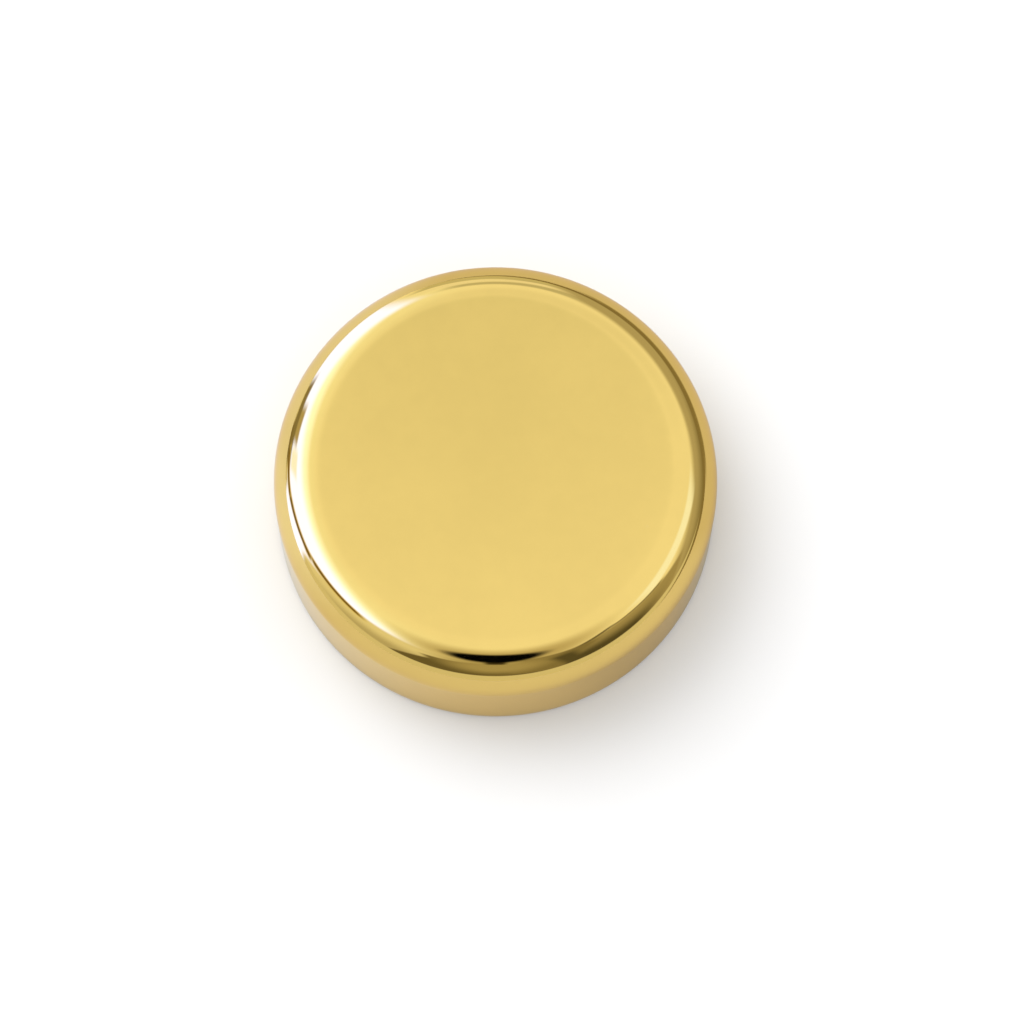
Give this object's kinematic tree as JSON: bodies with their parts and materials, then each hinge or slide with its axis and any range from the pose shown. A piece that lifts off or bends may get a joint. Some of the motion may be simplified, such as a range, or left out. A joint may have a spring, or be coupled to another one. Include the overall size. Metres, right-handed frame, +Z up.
{
  "type": "dealer button",
  "caption": "Plain round weighted dealer button: a polished gold-plated cap with a rounded top edge, over a steel core, on a felt foot.",
  "frame": {"origin": "centre of the felt foot's underside, where the button stands on the table", "axes": "+Z up along the button's axis; the button is round, so +X and +Y are free, and the spring washer's split starts at +X"},
  "size_m": [0.0508, 0.0508, 0.0159],
  "materials": {
    "gold_plate": "mirror polished, gold plated",
    "stud_brass": "turned",
    "liner": "fibre card",
    "core_steel": "turned, lightly oiled",
    "base_brass": "pressed, satin",
    "fastener_steel": "zinc plated",
    "film": "matt film",
    "felt": "pressed wool felt"
  },
  "bodies": {
    "root": {"top_shell": "gold_plate", "mounting_stud": "stud_brass", "shell_liner": "liner", "core_weight": "core_steel", "base_plate": "base_brass", "spring_washer": "fastener_steel", "clamp_nut": "fastener_steel", "felt_adhesive": "film", "felt_pad": "felt"}
  },
  "joints": []
}
